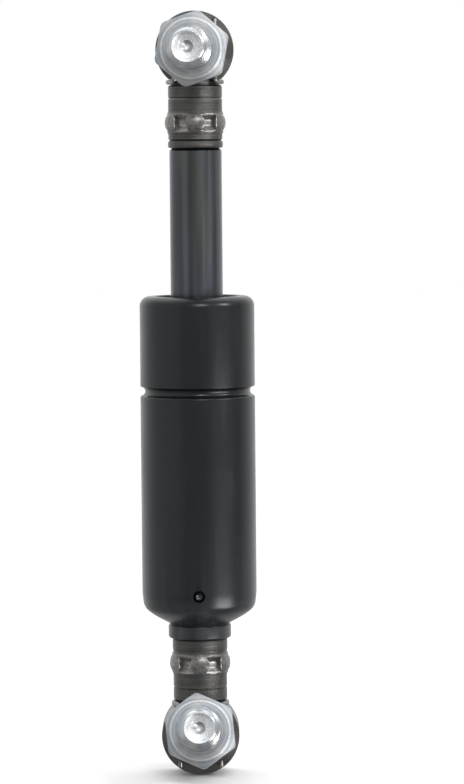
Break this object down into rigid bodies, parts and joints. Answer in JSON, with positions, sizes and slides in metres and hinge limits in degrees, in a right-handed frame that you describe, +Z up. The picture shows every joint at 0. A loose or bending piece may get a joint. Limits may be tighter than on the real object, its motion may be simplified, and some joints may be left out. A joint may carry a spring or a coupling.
{
  "type": "gas spring",
  "caption": "Short gas spring: painted pressure cylinder, sliding rod, and at each end a crimped ball socket with a wire safety clip and a threaded hex ball stud.",
  "frame": {"origin": "centre of the lower ball, where the cylinder end of the strut pivots", "axes": "+Z up the strut from the cylinder end to the rod end; both ball sockets open to the front, -Y; +X to the right seen from the front"},
  "size_m": [0.022, 0.0364, 0.1462],
  "materials": {
    "tube_paint": "satin black paint",
    "rod_steel": "nitrided, dark grey, ground along its length",
    "socket_steel": "turned and phosphated, dark brown grey",
    "stud_zinc": "bright blue zinc plate over turned steel",
    "spring_wire": "drawn spring wire",
    "plain_steel": "bare pressed steel",
    "seal_rubber": "matt black",
    "guide_plastic": "moulded, dark grey",
    "ring_plastic": "moulded, off-white",
    "liner_bronze": "bronze-backed bearing strip",
    "piston_alloy": "turned"
  },
  "bodies": {
    "cylinder": {"cylinder_tube": "tube_paint", "fill_ball": "tube_paint", "end_stud": "tube_paint", "support_washer": "plain_steel", "rod_seal": "seal_rubber", "rod_guide": "guide_plastic", "guide_liner": "liner_bronze", "guide_o_ring": "seal_rubber", "rod_wiper": "seal_rubber", "cover_washer": "plain_steel", "lower_ball_socket": "socket_steel", "lower_safety_clip": "spring_wire"},
    "piston_ring": {"piston_ring": "ring_plastic"},
    "rod": {"piston_rod": "rod_steel", "rebound_stop_washer": "plain_steel", "piston": "piston_alloy", "valve_disc": "plain_steel", "rivet_washer": "plain_steel", "upper_ball_socket": "socket_steel", "upper_safety_clip": "spring_wire"},
    "lower_stud": {"lower_ball_stud": "stud_zinc"},
    "upper_stud": {"upper_ball_stud": "stud_zinc"}
  },
  "joints": [
    {"name": "rod_slide", "type": "slide", "parent": "cylinder", "child": "piston_ring", "axis": [0, 0, 1], "range_m": [-0.025, 0], "stiffness_N_per_m": 1800, "springref_m": 0.08333},
    {"name": "rod_spin", "type": "hinge", "parent": "piston_ring", "child": "rod", "pos_m": [0, 0, 0.06007], "axis": [0, 0, 1], "continuous": true},
    {"name": "lower_stud_swivel", "type": "hinge", "parent": "cylinder", "child": "lower_stud", "pos_m": [0, 0, 0], "axis": [-0.0034, -0.9836, 0.1805], "continuous": true},
    {"name": "upper_stud_swivel", "type": "hinge", "parent": "rod", "child": "upper_stud", "pos_m": [0, 0, 0.13134], "axis": [-0.0488, -0.9988, 0.0087], "continuous": true}
  ]
}
